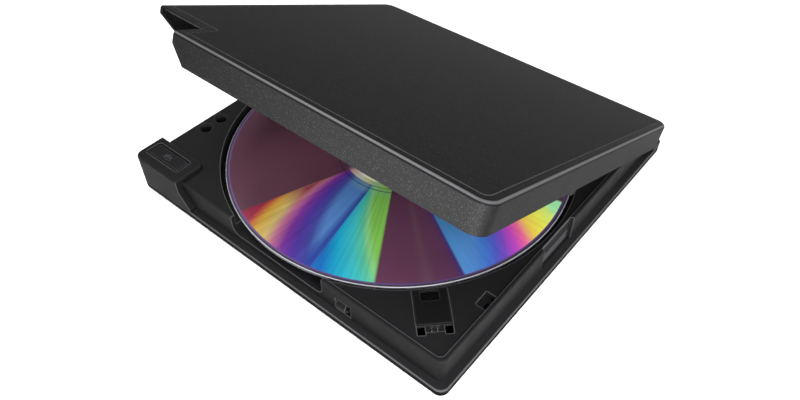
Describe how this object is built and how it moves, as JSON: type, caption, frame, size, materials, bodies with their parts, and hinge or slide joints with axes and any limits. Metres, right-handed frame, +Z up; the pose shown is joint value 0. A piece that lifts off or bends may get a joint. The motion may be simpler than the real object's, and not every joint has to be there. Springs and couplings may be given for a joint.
{
  "type": "external disc drive",
  "caption": "Slim square top-loading external disc drive with a hinged lid held open over a loaded disc, a push button, a latch and a laser pickup on rods.",
  "frame": {"origin": "on the table under the middle of the square base", "axes": "+X right along the front edge, +Y from the front to the hinge, +Z up"},
  "size_m": [0.133, 0.1348, 0.0653],
  "materials": {
    "case_plastic": "fine texture",
    "lid_plastic": "metallic flake lacquer",
    "liner_plastic": "polished",
    "button_plastic": "satin",
    "white_plastic": "natural",
    "grey_plastic": "satin",
    "foot_rubber": "matte",
    "mount_rubber": "matte",
    "disc_surface": "recording layer under clear plastic",
    "steel": "plated",
    "black_screws": "black oxide",
    "sheet_steel": "galvanised",
    "winding": "enamelled",
    "board": "solder mask",
    "chip": "moulded",
    "die_cast": "cast",
    "lens_glass": "coated",
    "contact_metal": "bright",
    "ribbon": "film"
  },
  "bodies": {
    "base": {"bottom_cover": "case_plastic", "rubber_feet": "foot_rubber", "case_screws": "black_screws", "deck_screws": "black_screws", "base_frame": "case_plastic", "button_spring": "steel", "hinge_bushes": "white_plastic", "corner_cover": "case_plastic", "switch_contacts": "contact_metal", "lid_switch_body": "grey_plastic", "traverse_chassis": "sheet_steel", "chassis_grommets": "mount_rubber", "chassis_screws": "steel", "motor_base": "sheet_steel", "motor_stator": "winding", "guide_rod_main": "steel", "guide_rod_plain": "steel", "stepper_motor": "sheet_steel", "main_board": "board", "board_chips": "chip", "board_screws": "steel", "usb_receptacle": "contact_metal", "motor_flex": "ribbon"},
    "lid": {"lid_shell": "lid_plastic", "lid_top_panel": "lid_plastic", "lid_liner": "liner_plastic", "hinge_pins": "steel"},
    "open_button": {"open_button": "button_plastic"},
    "latch_slider": {"latch_slider": "grey_plastic"},
    "switch_plunger": {"lid_switch_plunger": "case_plastic"},
    "spindle": {"motor_rotor": "steel", "turntable": "grey_plastic", "turntable_mat": "mount_rubber", "disc": "disc_surface"},
    "sled": {"pickup_sled": "die_cast", "sled_nut": "white_plastic", "actuator_yoke": "steel"},
    "lens": {"lens_holder": "grey_plastic", "objective_lenses": "lens_glass"},
    "lead_screw": {"lead_screw": "steel"}
  },
  "joints": [
    {"name": "lid_hinge", "type": "hinge", "parent": "base", "child": "lid", "pos_m": [0, 0.0606, 0.0079], "axis": [-1, 0, 0], "range_deg": [-24, 0]},
    {"name": "open_button_press", "type": "slide", "parent": "base", "child": "open_button", "axis": [0, 0, -1], "range_m": [0, 0.001], "stiffness_N_per_m": 400, "springref_m": -0.001, "deforming": ["button_spring"]},
    {"name": "latch_slide", "type": "slide", "parent": "base", "child": "latch_slider", "axis": [1, 0, 0], "range_m": [0, 0.0015]},
    {"name": "lid_switch_press", "type": "slide", "parent": "base", "child": "switch_plunger", "axis": [0, 0, 1], "range_m": [-0.0008, 0]},
    {"name": "spindle_spin", "type": "hinge", "parent": "base", "child": "spindle", "pos_m": [0, -0.0045, 0.0056], "axis": [0, 0, 1], "continuous": true},
    {"name": "sled_slide", "type": "slide", "parent": "base", "child": "sled", "axis": [0.7071, -0.7071, 0], "range_m": [0, 0.034]},
    {"name": "lead_screw_spin", "type": "hinge", "parent": "base", "child": "lead_screw", "pos_m": [0.02, 0.01086, 0.0042], "axis": [0.7071, -0.7071, 0], "range_deg": [0, 4080.1]},
    {"name": "lens_focus", "type": "slide", "parent": "sled", "child": "lens", "axis": [0, 0, 1], "range_m": [-0.0003, 0.0003], "stiffness_N_per_m": 60}
  ],
  "couplings": [
    {"joint": "latch_slide", "follows": "open_button_press", "ratio": 1.5},
    {"joint": "lid_switch_press", "follows": "lid_hinge", "m_per_rad": 0.0019},
    {"joint": "lead_screw_spin", "follows": "sled_slide", "rad_per_m": 2094.4}
  ]
}
